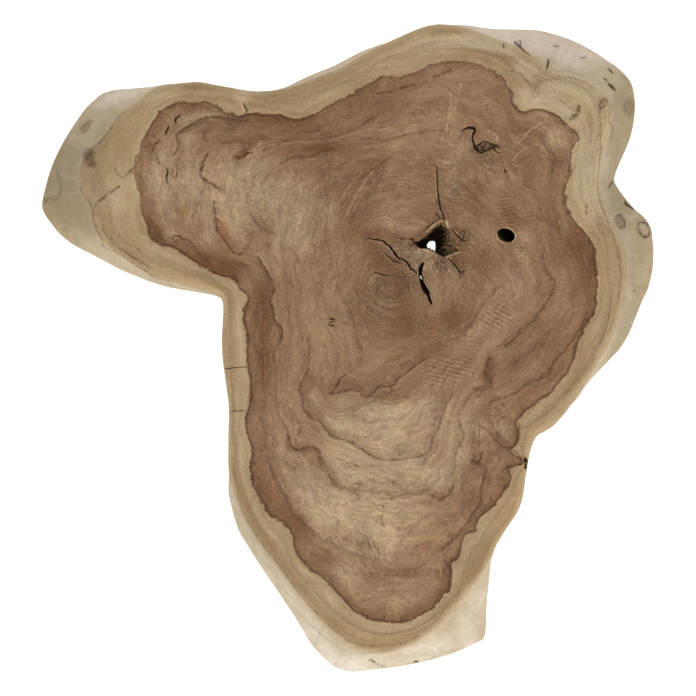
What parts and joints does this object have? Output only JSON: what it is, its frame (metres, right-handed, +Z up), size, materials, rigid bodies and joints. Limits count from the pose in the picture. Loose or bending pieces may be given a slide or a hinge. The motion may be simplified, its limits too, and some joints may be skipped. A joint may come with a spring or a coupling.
{
  "type": "wood slice",
  "caption": "Thick lobed slab of teak sawn across the flared foot of a trunk, flat on both faces with a live edge, for a table top, seat or plinth.",
  "frame": {"origin": "middle of the overall box in plan, on the flat underside", "axes": "+Z is up along the grain, from the sawn underside to the sanded top face. Seen from above with +Y away from the viewer, one lobe points to -X, one to +X+Y and one to -Y"},
  "size_m": [0.6374, 0.6748, 0.09],
  "materials": {
    "teak": "sanded and lightly oiled on the top face, weathered and sanded on the debarked flank, sawn underneath"
  },
  "bodies": {
    "root": {"teak_slice": "teak"}
  },
  "joints": []
}
